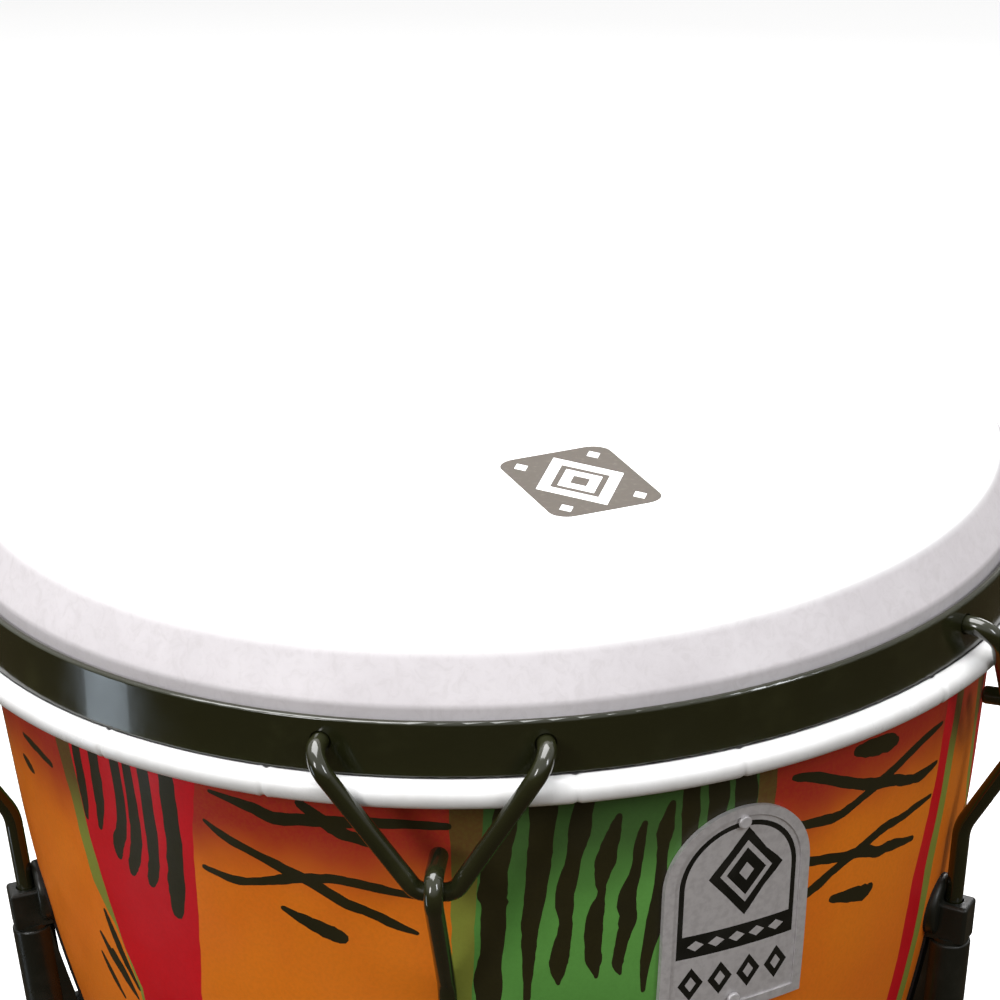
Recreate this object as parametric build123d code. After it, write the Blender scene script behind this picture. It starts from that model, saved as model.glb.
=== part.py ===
"""Mechanically tuned djembe: a moulded goblet shell, a film head on a flesh hoop, and a black tension rim
that five V hooks, five hooked tension rods and five lugs pull down. Millimetres, +Z up. The origin is on the
floor, on the drum's axis. Lug 1 faces -Y, and the others follow it anticlockwise seen from above."""

import os
from math import acos, asin, atan2, cos, degrees, hypot, radians, sin, sqrt, tan

from build123d import *

# Whole drum
HEIGHT = 610.0  # playing surface above the floor
LUG_COUNT = 5
PITCH_DEG = 360.0 / LUG_COUNT

# Shell: upper wall, bowl arc, waist arc and foot arc run tangent into one another
WALL = 6.0
WALL_TOP_R, WALL_TOP_DEPTH = 157.0, 26.0
WALL_SLOPE = radians(7.0)
BOWL_DEPTH = 100.0
BOWL_ARC_R = 480.0
BOWL_END_SLOPE = radians(32.0)
WAIST_ARC_R = 90.0
FOOT_ARC_R = 690.0
SHELL_BOTTOM_Z = 4.0
LIP_GAP = 0.35  # between the shell's lip and the head's collar
CREST_GAP = 0.2  # between the bearing edge and the film

# Head and flesh hoop
FILM = 0.5
HEAD_CORNER_R = 153.5
HEAD_FILLET = 4.5
KNEE_R, KNEE_DEPTH = 160.8, 16.0  # where the collar turns down to the hoop
HOOP_R, HOOP_DEPTH = 164.6, 39.9
CORE_RADIUS = 3.7
WRAP_END_DEG = 97.0

# Tension rim
RIM_OUTER_R = 164.4
RIM_WALL = 2.4
RIM_TOP_DEPTH = 19.1
RIM_BOTTOM_DEPTH = 35.65
RIM_EDGE = 0.8
RIM_HOLE_R = 3.1
HOOK_DEPTH = 26.0  # rim holes below the playing surface
HOOK_SPREAD_DEG = 10.8  # each rim hole from its lug's centre line

# V hooks and tension rods
ROD_R = 2.7
HOOK_BEND_X = 171.3
V_BOTTOM_X, V_BOTTOM_DEPTH = 168.4, 67.8
V_BOTTOM_HALF = 5.2
V_BOTTOM_BEND = 5.0
HOOK_BEND = 6.5
HOOK_HEAD_R, HOOK_HEAD_LENGTH, HOOK_HEAD_GAP = 4.2, 0.7, 0.1
THREAD_R, THREAD_ROOT_R, THREAD_PITCH = 3.0, 2.65, 1.0
THREAD_LENGTH = 36.0
KINK_X, KINK_DEPTH = 151.0, 106.0
CLAW_X, CLAW_DEPTH = 178.6, 62.0
CLAW_TIP_X = 157.0
ROD_TILT = radians(5.5)
ROD_END = 80.0  # end of the rod below the lug's top, along the rod
KINK_BEND, CLAW_BEND = 14.0, 5.6

# Lugs, in a frame on the rod's axis with its origin at the lug's top
LUG_TOP_DEPTH = 131.0
LUG_LENGTH = 56.0
LUG_BLOCK = (16.0, 10.0, 12.0)
LUG_BLOCK_BACK = -10.2
NECK_R, NECK_LENGTH = 5.6, 0.9
BARREL_R = 6.4
BARREL_FOOT_R, BARREL_FOOT_LENGTH = 7.2, 5.0
WEB_HALF, WEB_GAP = 4.4, 2.0  # rib behind the barrel, and its gap from the shell
BOSS_R, BOSS_Z, BOSS_FACE_X = 9.5, -2.5, -2.6
HEEL_R, HEEL_Z = 7.5, -48.0
STRIP_HALF = 4.5
ROD_BORE_R = 3.15
GASKET = 0.8
SCREW_R = 2.0
SCREW_WASHER_R, SCREW_WASHER = 4.6, 0.8
SCREW_HEAD_R, SCREW_HEAD = 3.8, 2.4
BOSS_SCREW_Y = 6.0
# sideways place, height, washer seat and tip of each screw of a lug
SCREWS = (
    (-BOSS_SCREW_Y, BOSS_Z, -11.0, -3.0),
    (BOSS_SCREW_Y, BOSS_Z, -11.0, -3.0),
    (0.0, HEEL_Z, -17.0, -4.4),
)

# Tension nuts
NUT_FLATS, NUT_LENGTH, NUT_BORE_R = 11.0, 9.0, 3.15
NUT_WASHER_R, NUT_WASHER = 6.6, 1.2
NUT_GAP = 0.1

# Badge
BADGE_DEG = 32.5
BADGE_WIDTH, BADGE_HEIGHT = 47.0, 68.6
BADGE_TOP_DEPTH = 59.8
BADGE_BACK, BADGE_PLATE, BADGE_BORDER = 0.1, 1.0, 1.6
BADGE_BORDER_WIDTH = 3.0
RIVET_R, RIVET_HEAD_R, RIVET_HEAD, RIVET_SHANK = 1.2, 2.0, 0.9, 5.0

# Foot ring
RING_WALL = 3.5
RING_HEIGHT, RING_INNER_HEIGHT = 26.0, 12.0
RING_INNER = 2.5

parts = {}


def at_depth(depth):
    """Height above the floor of a level given by its depth below the playing surface."""
    return HEIGHT - depth


# ---------------------------------------------------------------- shell surface
BOWL_R = WALL_TOP_R - (BOWL_DEPTH - WALL_TOP_DEPTH) * tan(WALL_SLOPE)
BOWL_CENTRE = (
    BOWL_R - BOWL_ARC_R * cos(WALL_SLOPE),
    at_depth(BOWL_DEPTH) + BOWL_ARC_R * sin(WALL_SLOPE),
)
BOWL_END = (
    BOWL_CENTRE[0] + BOWL_ARC_R * cos(BOWL_END_SLOPE),
    BOWL_CENTRE[1] - BOWL_ARC_R * sin(BOWL_END_SLOPE),
)
WAIST_CENTRE = (
    BOWL_END[0] + WAIST_ARC_R * cos(BOWL_END_SLOPE),
    BOWL_END[1] - WAIST_ARC_R * sin(BOWL_END_SLOPE),
)
WAIST_R, WAIST_Z = WAIST_CENTRE[0] - WAIST_ARC_R, WAIST_CENTRE[1]
FOOT_CENTRE_R = WAIST_R + FOOT_ARC_R


def on_arc(centre, radius, angle):
    """Point of an arc in the R, Z half plane."""
    return (centre[0] + radius * cos(angle), centre[1] + radius * sin(angle))


def foot_radius(z, offset=0.0):
    """Radius of the foot's outer surface at height z, moved outward by offset."""
    return FOOT_CENTRE_R - sqrt((FOOT_ARC_R - offset) ** 2 - (WAIST_Z - z) ** 2)


def wall_top(offset, depth=WALL_TOP_DEPTH):
    """Point of the upper wall's line at a depth, moved outward by offset."""
    radius = WALL_TOP_R - (depth - WALL_TOP_DEPTH) * tan(WALL_SLOPE)
    return (radius + offset * cos(WALL_SLOPE), at_depth(depth) - offset * sin(WALL_SLOPE))


def outer_curve(offset, bottom_z):
    """Edges of the shell's outer surface, moved outward by offset, from the upper wall to bottom_z."""
    start = wall_top(offset)
    bowl = BOWL_ARC_R + offset
    waist = WAIST_ARC_R - offset
    bowl_start = on_arc(BOWL_CENTRE, bowl, -WALL_SLOPE)
    bowl_end = on_arc(BOWL_CENTRE, bowl, -BOWL_END_SLOPE)
    waist_end = (WAIST_R + offset, WAIST_Z)
    turn = radians(180.0)
    foot_end = (foot_radius(bottom_z, offset), bottom_z)
    foot_middle_z = (WAIST_Z + bottom_z) / 2
    return [
        Line(start, bowl_start),
        ThreePointArc(
            bowl_start,
            on_arc(BOWL_CENTRE, bowl, -(WALL_SLOPE + BOWL_END_SLOPE) / 2),
            bowl_end,
        ),
        ThreePointArc(
            bowl_end,
            on_arc(WAIST_CENTRE, waist, turn - BOWL_END_SLOPE / 2),
            waist_end,
        ),
        ThreePointArc(waist_end, (foot_radius(foot_middle_z, offset), foot_middle_z), foot_end),
    ]


def ring_solid(edges):
    """Solid turned about the Z axis from a closed outline given in R and Z."""
    return revolve(Plane.XZ * make_face(edges), Axis.Z)


def bowl_layer(inner, outer, top=46.0, bottom=230.0):
    """Ring between two offsets of the shell's outer surface over the bowl, for pieces that lie on it."""
    edges = []
    ends = []
    for offset in (inner, outer):
        start = wall_top(offset, top)
        arc_r = BOWL_ARC_R + offset
        bowl_start = on_arc(BOWL_CENTRE, arc_r, -WALL_SLOPE)
        end_slope = asin((BOWL_CENTRE[1] - at_depth(bottom)) / arc_r)
        bowl_end = on_arc(BOWL_CENTRE, arc_r, -end_slope)
        middle = on_arc(BOWL_CENTRE, arc_r, -(WALL_SLOPE + end_slope) / 2)
        edges += [Line(start, bowl_start), ThreePointArc(bowl_start, middle, bowl_end)]
        ends.append((start, bowl_end))
    edges += [Line(ends[0][0], ends[1][0]), Line(ends[0][1], ends[1][1])]
    return ring_solid(edges)


def bowl_core(offset):
    """Solid of everything inside the shell's outer surface moved outward by offset, over the bowl."""
    return bowl_layer(-60.0, offset)


# ---------------------------------------------------------------- frames round the drum
def around(shape, turn):
    """Shape drawn on the +X side, turned to its place: 0 faces -Y, and turns go anticlockwise."""
    return Rot(0, 0, turn - 90.0) * shape


def rod_point(depth):
    """Point of the rod's lower run at a depth, on the +X side."""
    return (KINK_X - (depth - KINK_DEPTH) * tan(ROD_TILT), 0, at_depth(depth))


LUG_FRAME = Plane(
    origin=rod_point(LUG_TOP_DEPTH),
    x_dir=(cos(ROD_TILT), 0, -sin(ROD_TILT)),
    z_dir=(sin(ROD_TILT), 0, cos(ROD_TILT)),
)


def lug_cylinder(radius, bottom, top):
    """Cylinder on the rod's axis between two heights of the lug's frame."""
    return Pos(0, 0, (bottom + top) / 2) * Cylinder(radius, top - bottom)


def pad_cylinder(radius, back, face, z, y=0.0):
    """Cylinder across the lug at height z, from back to face along the lug's X."""
    return Pos((back + face) / 2, y, z) * Rot(0, 90, 0) * Cylinder(radius, face - back)


# ---------------------------------------------------------------- head and flesh hoop
def skirt_angle():
    """Angle of the film's skirt from vertical, from the knee to where it meets the flesh hoop's core."""
    across, down = HOOP_R - KNEE_R, HOOP_DEPTH - KNEE_DEPTH
    return atan2(across, down) - asin(CORE_RADIUS / hypot(across, down))


COLLAR = atan2(KNEE_R - HEAD_CORNER_R, KNEE_DEPTH)
SKIRT = skirt_angle()


def collar_radius(depth, offset):
    """Radius of the collar at a depth, moved towards the shell by offset."""
    return HEAD_CORNER_R + depth * tan(COLLAR) - offset / cos(COLLAR)


def drumhead():
    """Film head: flat playing surface, fillet, flared collar, upright skirt and the wrap round the hoop's core."""
    centre = (HOOP_R, at_depth(HOOP_DEPTH))
    left = radians(180.0) + SKIRT
    end = radians(360.0 + WRAP_END_DEG)
    middle = (left + end) / 2
    wrap_r = CORE_RADIUS + FILM
    under = at_depth(FILM)
    top = FilletPolyline(
        (0, HEIGHT),
        (HEAD_CORNER_R, HEIGHT),
        (KNEE_R, at_depth(KNEE_DEPTH)),
        on_arc(centre, CORE_RADIUS, left),
        radius=HEAD_FILLET,
    )
    bottom = FilletPolyline(
        (0, under),
        (collar_radius(FILM, FILM), under),
        (KNEE_R - FILM, at_depth(KNEE_DEPTH + FILM * tan(COLLAR / 2))),
        on_arc(centre, wrap_r, left),
        radius=HEAD_FILLET - FILM,
    )
    return ring_solid(
        [
            top,
            bottom,
            Line((0, HEIGHT), (0, under)),
            ThreePointArc(
                on_arc(centre, CORE_RADIUS, left),
                on_arc(centre, CORE_RADIUS, middle),
                on_arc(centre, CORE_RADIUS, end),
            ),
            ThreePointArc(
                on_arc(centre, wrap_r, left),
                on_arc(centre, wrap_r, middle),
                on_arc(centre, wrap_r, end),
            ),
            Line(on_arc(centre, CORE_RADIUS, end), on_arc(centre, wrap_r, end)),
        ]
    )


def flesh_hoop():
    """Round steel ring that the film is wrapped on."""
    return Pos(0, 0, at_depth(HOOP_DEPTH)) * Torus(HOOP_R, CORE_RADIUS - 0.02)


# ---------------------------------------------------------------- shell and what sits on it
def shell_outline():
    """Outline of the shell's wall: rounded bearing edge, lip under the collar, and the two skins."""
    outer = outer_curve(0.0, SHELL_BOTTOM_Z)
    inner = outer_curve(-WALL, SHELL_BOTTOM_Z)
    crest_depth = FILM + CREST_GAP
    gap = FILM + LIP_GAP
    lip_top = (collar_radius(4.0, gap), at_depth(4.0))
    lip_bottom = (collar_radius(10.0, gap), at_depth(10.0))
    crest_out = (collar_radius(crest_depth, gap) - 2.6, at_depth(crest_depth))
    crest_in = (crest_out[0] - 1.5, at_depth(crest_depth))
    inside_top = (crest_in[0] - 2.6, at_depth(6.0))
    outer_top, inner_top = wall_top(0.0), wall_top(-WALL)
    edges = outer + inner
    edges += [
        Line(lip_bottom, lip_top),
        Spline(lip_top, crest_out, tangents=[(-sin(COLLAR), cos(COLLAR)), (-1, 0)]),
        Line(crest_out, crest_in),
        Spline(crest_in, inside_top, tangents=[(-1, 0), (0, -1)]),
        Spline(
            lip_bottom,
            outer_top,
            tangents=[(sin(COLLAR), -cos(COLLAR)), (-sin(WALL_SLOPE), -cos(WALL_SLOPE))],
        ),
        Line(inside_top, inner_top),
        Line((foot_radius(SHELL_BOTTOM_Z), SHELL_BOTTOM_Z), (foot_radius(SHELL_BOTTOM_Z, -WALL), SHELL_BOTTOM_Z)),
    ]
    return edges


def shell():
    """Moulded one-piece shell with screw holes and flat screw seats for the lugs, and rivet holes."""
    body = ring_solid(shell_outline())
    holes = [pad_cylinder(SCREW_R + 0.15, -20.0, 0.0, z, y) for y, z, seat, tip in SCREWS]
    seats = [pad_cylinder(SCREW_WASHER_R + 0.4, seat - 4.0, seat, z, y) for y, z, seat, tip in SCREWS]
    for number in range(LUG_COUNT):
        body -= [around(LUG_FRAME * hole, number * PITCH_DEG) for hole in holes]
        body -= [around(LUG_FRAME * seat, number * PITCH_DEG) for seat in seats]
    return body - [rivet_hole(depth) for depth in rivet_depths()]


def foot_ring():
    """Rubber ring that grips the bottom of the shell inside and out."""
    outer_top = foot_radius(RING_HEIGHT, RING_WALL)
    outer_middle = foot_radius(RING_HEIGHT / 2, RING_WALL)
    outer_bottom = foot_radius(0.0, RING_WALL)
    skin_top = foot_radius(RING_HEIGHT)
    inner_top = foot_radius(RING_INNER_HEIGHT, -WALL)
    inner_r = foot_radius(RING_INNER_HEIGHT, -WALL - RING_INNER)
    foot_out = foot_radius(SHELL_BOTTOM_Z)
    foot_in = foot_radius(SHELL_BOTTOM_Z, -WALL)
    bevel = 1.2
    return ring_solid(
        [
            ThreePointArc(
                (outer_top, RING_HEIGHT - bevel),
                (outer_middle, RING_HEIGHT / 2),
                (outer_bottom, bevel),
            ),
            Line((outer_bottom, bevel), (outer_bottom - bevel, 0)),
            Line((outer_bottom - bevel, 0), (inner_r + bevel, 0)),
            Line((inner_r + bevel, 0), (inner_r, bevel)),
            Line((inner_r, bevel), (inner_r, RING_INNER_HEIGHT - bevel)),
            Line((inner_r, RING_INNER_HEIGHT - bevel), (inner_top, RING_INNER_HEIGHT)),
            ThreePointArc(
                (inner_top, RING_INNER_HEIGHT),
                (foot_radius((RING_INNER_HEIGHT + SHELL_BOTTOM_Z) / 2, -WALL), (RING_INNER_HEIGHT + SHELL_BOTTOM_Z) / 2),
                (foot_in, SHELL_BOTTOM_Z),
            ),
            Line((foot_in, SHELL_BOTTOM_Z), (foot_out, SHELL_BOTTOM_Z)),
            ThreePointArc(
                (foot_out, SHELL_BOTTOM_Z),
                (foot_radius((RING_HEIGHT + SHELL_BOTTOM_Z) / 2), (RING_HEIGHT + SHELL_BOTTOM_Z) / 2),
                (skin_top, RING_HEIGHT),
            ),
            Line((skin_top, RING_HEIGHT), (outer_top, RING_HEIGHT - bevel)),
        ]
    )


# ---------------------------------------------------------------- badge
def badge_outline(width, height, drop=0.0):
    """Arch-topped face, its top edge drop below the badge's top, in a plane facing outward."""
    half = width / 2
    top = at_depth(BADGE_TOP_DEPTH) - drop
    shoulder, foot = top - half, top - height
    return make_face(
        [
            Line((-half, foot), (half, foot)),
            Line((half, foot), (half, shoulder)),
            ThreePointArc((half, shoulder), (0, top), (-half, shoulder)),
            Line((-half, shoulder), (-half, foot)),
        ]
    )


BADGE_PLANE = Plane(origin=(120, 0, 0), x_dir=(0, 1, 0), z_dir=(1, 0, 0))


def badge_prism(width, height, drop=0.0):
    """Arch-topped bar that runs outward through the bowl's wall at the badge."""
    return extrude(BADGE_PLANE * badge_outline(width, height, drop), 60.0)


def rivet_depths():
    """Depths of the badge's two rivets."""
    inset = 4.6
    return (BADGE_TOP_DEPTH + inset, BADGE_TOP_DEPTH + BADGE_HEIGHT - inset)


def wall_radius(depth):
    """Radius of the bowl's outer surface at a depth."""
    if depth <= BOWL_DEPTH:
        return wall_top(0.0, depth)[0]
    return BOWL_CENTRE[0] + sqrt(BOWL_ARC_R**2 - (BOWL_CENTRE[1] - at_depth(depth)) ** 2)


def rivet_bar(radius, inner, outer, depth):
    """Cylinder square to the bowl's axis at the badge, between two radii."""
    bar = Rot(0, 90, 0) * Cylinder(radius, outer - inner)
    return Pos((inner + outer) / 2, 0, at_depth(depth)) * bar


def rivet_hole(depth):
    """Cutter of one rivet's hole in the shell."""
    surface = wall_radius(depth)
    return around(rivet_bar(RIVET_R + 0.05, surface - RIVET_SHANK - 0.3, surface + 5.0, depth), BADGE_DEG)


def badge():
    """Thin metal plate with a raised border, bent to the bowl."""
    plate = bowl_layer(BADGE_BACK, BADGE_PLATE) & badge_prism(BADGE_WIDTH, BADGE_HEIGHT)
    border = bowl_layer(BADGE_PLATE - 0.3, BADGE_BORDER) & badge_prism(BADGE_WIDTH, BADGE_HEIGHT)
    inset = BADGE_BORDER_WIDTH
    opening = badge_prism(BADGE_WIDTH - 2 * inset, BADGE_HEIGHT - 2 * inset, inset)
    whole = plate + (border - opening)
    holes = [rivet_bar(RIVET_R + 0.05, 130.0, 170.0, depth) for depth in rivet_depths()]
    return around(whole - holes, BADGE_DEG)


def badge_rivets():
    """Two round-headed drive pins that hold the badge."""
    made = []
    for depth in rivet_depths():
        surface = wall_radius(depth)
        face = surface + BADGE_BORDER + 0.25
        shank = rivet_bar(RIVET_R, surface - RIVET_SHANK, face + 0.1, depth)
        head = rivet_bar(RIVET_HEAD_R, face, face + RIVET_HEAD, depth)
        head = fillet(head.edges().group_by(Axis.X)[-1], RIVET_HEAD * 0.7)
        made.append(around(shank + head, BADGE_DEG))
    return Compound(children=made)


# ---------------------------------------------------------------- rim, hooks and rods
def rim_hole(turn):
    """Cutter of one radial hole through the rim."""
    hole = Rot(0, 90, 0) * Cylinder(RIM_HOLE_R, 12.0)
    return around(Pos(RIM_OUTER_R, 0, at_depth(HOOK_DEPTH)) * hole, turn)


def rim():
    """Flat steel band with rounded edges and two hook holes for each lug."""
    height = RIM_BOTTOM_DEPTH - RIM_TOP_DEPTH
    middle = (RIM_OUTER_R - RIM_WALL / 2, at_depth((RIM_TOP_DEPTH + RIM_BOTTOM_DEPTH) / 2))
    section = Pos(*middle) * RectangleRounded(RIM_WALL, height, RIM_EDGE)
    band = revolve(Plane.XZ * section, Axis.Z)
    turns = [n * PITCH_DEG + side * HOOK_SPREAD_DEG for n in range(LUG_COUNT) for side in (-1, 1)]
    return band - [rim_hole(turn) for turn in turns]


def rod_sweep(path):
    """Round rod of ROD_R along a path."""
    start = Plane(origin=path @ 0, z_dir=path % 0)
    return sweep(start * Circle(ROD_R), path=path)


def v_hook():
    """V of round rod. Each end turns in through the rim and carries an upset head behind it."""
    spread = radians(HOOK_SPREAD_DEG)
    z_hole = at_depth(HOOK_DEPTH)
    bend_r = HOOK_BEND_X / cos(spread)
    head_r = RIM_OUTER_R - RIM_WALL - HOOK_HEAD_GAP
    inner_r = head_r - HOOK_HEAD_LENGTH

    def radial(radius, side):
        return (radius * cos(spread), side * radius * sin(spread), z_hole)

    def foot(side):
        return (V_BOTTOM_X, side * V_BOTTOM_HALF, at_depth(V_BOTTOM_DEPTH))

    path = FilletPolyline(
        radial(inner_r + 0.3, -1),
        radial(bend_r, -1),
        foot(-1),
        foot(1),
        radial(bend_r, 1),
        radial(inner_r + 0.3, 1),
        radius=[HOOK_BEND, V_BOTTOM_BEND, V_BOTTOM_BEND, HOOK_BEND],
    )
    hook = rod_sweep(path)
    for side in (-1, 1):
        head = Rot(0, 90, 0) * Cylinder(HOOK_HEAD_R, HOOK_HEAD_LENGTH)
        head = chamfer(head.edges().group_by(Axis.X)[0], 0.25)
        head = Pos((inner_r + head_r) / 2, 0, z_hole) * head
        hook += Rot(0, 0, side * HOOK_SPREAD_DEG) * head
    return hook


def thread_outline():
    """Outline of the threaded end below the plain shank, in the lug's frame, with ring grooves as threads."""
    bottom, top = -ROD_END, -ROD_END + THREAD_LENGTH
    turns = int(THREAD_LENGTH / THREAD_PITCH) - 3
    points = [(0, bottom), (1.8, bottom), (THREAD_ROOT_R, bottom + 1.0)]
    for turn in range(turns):
        z = bottom + 1.3 + turn * THREAD_PITCH
        points += [
            (THREAD_R, z + 0.35),
            (THREAD_R, z + 0.5),
            (THREAD_ROOT_R, z + 0.85),
        ]
    points += [(THREAD_ROOT_R, top), (0, top)]
    return Polyline(*points, close=True)


def tension_rod():
    """Rod with a claw at the top that holds the V hook, a kink, a straight shank and a threaded end."""
    thread_top = ROD_END - THREAD_LENGTH
    shank_end = LUG_FRAME.from_local_coords((0, 0, -thread_top))
    path = FilletPolyline(
        (shank_end.X, shank_end.Y, shank_end.Z),
        (KINK_X, 0, at_depth(KINK_DEPTH)),
        (CLAW_X, 0, at_depth(CLAW_DEPTH)),
        (CLAW_TIP_X, 0, at_depth(CLAW_DEPTH)),
        radius=[KINK_BEND, CLAW_BEND],
    )
    thread = revolve(Plane.XZ * make_face(thread_outline()), Axis.Z)
    rod = rod_sweep(path) + LUG_FRAME * thread
    tip = rod.faces().filter_by(Plane.YZ).sort_by(Axis.X)[0]
    return fillet(tip.edges(), 1.2)


# ---------------------------------------------------------------- lugs
def lug():
    """Cast lug: round boss and block, then a ribbed barrel with a foot collar and a heel that meets the shell."""
    deep, wide, tall = LUG_BLOCK
    block = Pos(LUG_BLOCK_BACK + deep / 2, 0, -tall / 2) * Box(deep, wide, tall)
    block = fillet(block.edges().filter_by(Axis.Z) + block.edges().group_by(Axis.Z)[-1], 1.2)
    boss = pad_cylinder(BOSS_R, -12.0, BOSS_FACE_X, BOSS_Z)
    boss = fillet(boss.edges().group_by(Axis.X)[-1], 1.6)
    neck = lug_cylinder(NECK_R, -tall - NECK_LENGTH - 0.5, -tall + 0.5)
    barrel = lug_cylinder(BARREL_R, -LUG_LENGTH, -tall - NECK_LENGTH)
    barrel = fillet(barrel.edges().group_by(Axis.Z)[-1], 0.8)
    collar = lug_cylinder(BARREL_FOOT_R, -LUG_LENGTH, -LUG_LENGTH + BARREL_FOOT_LENGTH)
    collar = fillet(collar.edges().filter_by(GeomType.CIRCLE), 0.8)
    heel = pad_cylinder(HEEL_R, -20.0, 0.0, HEEL_Z)
    web_bottom, web_top = HEEL_Z, -tall - NECK_LENGTH
    web = Pos(-10.0, 0, (web_bottom + web_top) / 2) * Box(20.0, 2 * WEB_HALF, web_top - web_bottom)
    web = LUG_FRAME * web - bowl_core(WEB_GAP)
    body = LUG_FRAME * (block + boss + neck + barrel + collar + heel) + web
    body -= bowl_core(GASKET)
    cutters = [lug_cylinder(ROD_BORE_R, -LUG_LENGTH - 5.0, 15.0)]
    cutters += [pad_cylinder(SCREW_R, -20.0, tip + 0.2, z, y) for y, z, seat, tip in SCREWS]
    return body - [LUG_FRAME * cutter for cutter in cutters]


def lug_gasket():
    """Thin rubber gasket between the lug and the shell: a disc for the boss, a strip and a disc for the heel."""
    strip = Pos(-10.0, 0, (BOSS_Z + HEEL_Z) / 2) * Box(20.0, 2 * STRIP_HALF, BOSS_Z - HEEL_Z)
    outline = strip + pad_cylinder(BOSS_R, -20.0, 0.0, BOSS_Z) + pad_cylinder(HEEL_R, -20.0, 0.0, HEEL_Z)
    gasket = bowl_layer(0.02, GASKET - 0.02) & (LUG_FRAME * outline)
    holes = [pad_cylinder(SCREW_R + 0.15, -20.0, 0.0, z, y) for y, z, seat, tip in SCREWS]
    return gasket - [LUG_FRAME * hole for hole in holes]


def lug_screw(y, z, seat, tip):
    """Cross-head screw driven from inside the shell into the lug."""
    under = seat - SCREW_WASHER
    shank = pad_cylinder(SCREW_R - 0.05, under - 0.2, tip, z, y)
    head = pad_cylinder(SCREW_HEAD_R, under - SCREW_HEAD, under, z, y)
    head = fillet(head.edges().group_by(Axis.X)[0], 1.4)
    slot_depth, slot_long, slot_wide = 1.4, 4.2, 0.9
    slot_x = under - SCREW_HEAD + slot_depth - 1.0
    sizes = ((slot_long, slot_wide), (slot_wide, slot_long))
    slots = [Pos(slot_x, y, z) * Box(2.0, *size) for size in sizes]
    return LUG_FRAME * ((head + shank) - slots)


def lug_screw_washer(y, z, seat, tip):
    """Flat washer under one screw's head."""
    disc = pad_cylinder(SCREW_WASHER_R, seat - SCREW_WASHER, seat, z, y)
    return LUG_FRAME * (disc - pad_cylinder(SCREW_R + 0.1, seat - 3.0, 0.0, z, y))


def nut_washer():
    """Washer between the lug's foot and its tension nut."""
    top = -LUG_LENGTH
    disc = lug_cylinder(NUT_WASHER_R, top - NUT_WASHER, top)
    return LUG_FRAME * (disc - lug_cylinder(ROD_BORE_R, top - 5.0, top + 5.0))


def tension_nut():
    """Long hexagon nut with chamfered ends."""
    top = -LUG_LENGTH - NUT_WASHER - NUT_GAP
    bottom = top - NUT_LENGTH
    corner = NUT_FLATS / 2 / cos(radians(30.0))
    prism = Pos(0, 0, bottom) * extrude(RegularPolygon(corner, 6), NUT_LENGTH)
    cone = 0.75
    rounding = ring_solid(
        Polyline(
            (0, bottom),
            (corner - cone, bottom),
            (corner, bottom + cone * 0.6),
            (corner, top - cone * 0.6),
            (corner - cone, top),
            (0, top),
            close=True,
        )
    )
    nut = (prism & rounding) - lug_cylinder(NUT_BORE_R, bottom - 1.0, top + 1.0)
    return LUG_FRAME * nut


# ---------------------------------------------------------------- build
def copies(name, shape):
    """One node for each lug position."""
    for number in range(LUG_COUNT):
        parts[f"{name}_{number + 1}"] = around(shape, number * PITCH_DEG)


parts["shell"] = shell()
parts["foot_ring"] = foot_ring()
parts["drumhead"] = drumhead()
parts["flesh_hoop"] = flesh_hoop()
parts["rim"] = rim()
parts["badge"] = badge()
parts["badge_rivets"] = badge_rivets()
copies("v_hook", v_hook())
copies("tension_rod", tension_rod())
copies("tension_nut", tension_nut())
copies("nut_washer", nut_washer())
copies("lug", lug())
copies("lug_gasket", lug_gasket())
copies("lug_screws", Compound(children=[lug_screw(*screw) for screw in SCREWS]))
copies("lug_screw_washers", Compound(children=[lug_screw_washer(*screw) for screw in SCREWS]))

os.makedirs("parts", exist_ok=True)
for old in os.listdir("parts"):
    os.remove(os.path.join("parts", old))
for name, shape in parts.items():
    export_step(shape, f"parts/{name}.step")
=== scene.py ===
"""Looks of the mechanically tuned djembe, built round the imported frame.

Sizes are millimetres until a point is placed, and placed points are metres in the drum's own frame.
Angles round the drum are degrees from its front, -Y, anticlockwise seen from above. Depths run down
from the playing surface.
"""

import math

import bpy
from mathutils import Matrix, Vector, noise
from mathutils.geometry import delaunay_2d_cdt


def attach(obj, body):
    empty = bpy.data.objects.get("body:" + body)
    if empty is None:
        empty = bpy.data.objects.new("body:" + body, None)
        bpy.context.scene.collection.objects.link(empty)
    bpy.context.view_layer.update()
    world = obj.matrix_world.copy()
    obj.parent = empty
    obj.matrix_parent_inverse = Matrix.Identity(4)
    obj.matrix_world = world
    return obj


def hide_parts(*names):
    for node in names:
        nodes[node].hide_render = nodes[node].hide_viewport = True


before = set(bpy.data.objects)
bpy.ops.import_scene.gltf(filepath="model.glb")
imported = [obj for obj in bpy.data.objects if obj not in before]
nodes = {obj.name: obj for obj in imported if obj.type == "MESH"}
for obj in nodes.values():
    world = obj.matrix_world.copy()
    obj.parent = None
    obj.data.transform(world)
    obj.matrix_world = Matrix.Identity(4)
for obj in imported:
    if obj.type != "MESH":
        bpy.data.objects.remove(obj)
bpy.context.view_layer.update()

MM = 0.001
HEIGHT = 610.0

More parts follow.
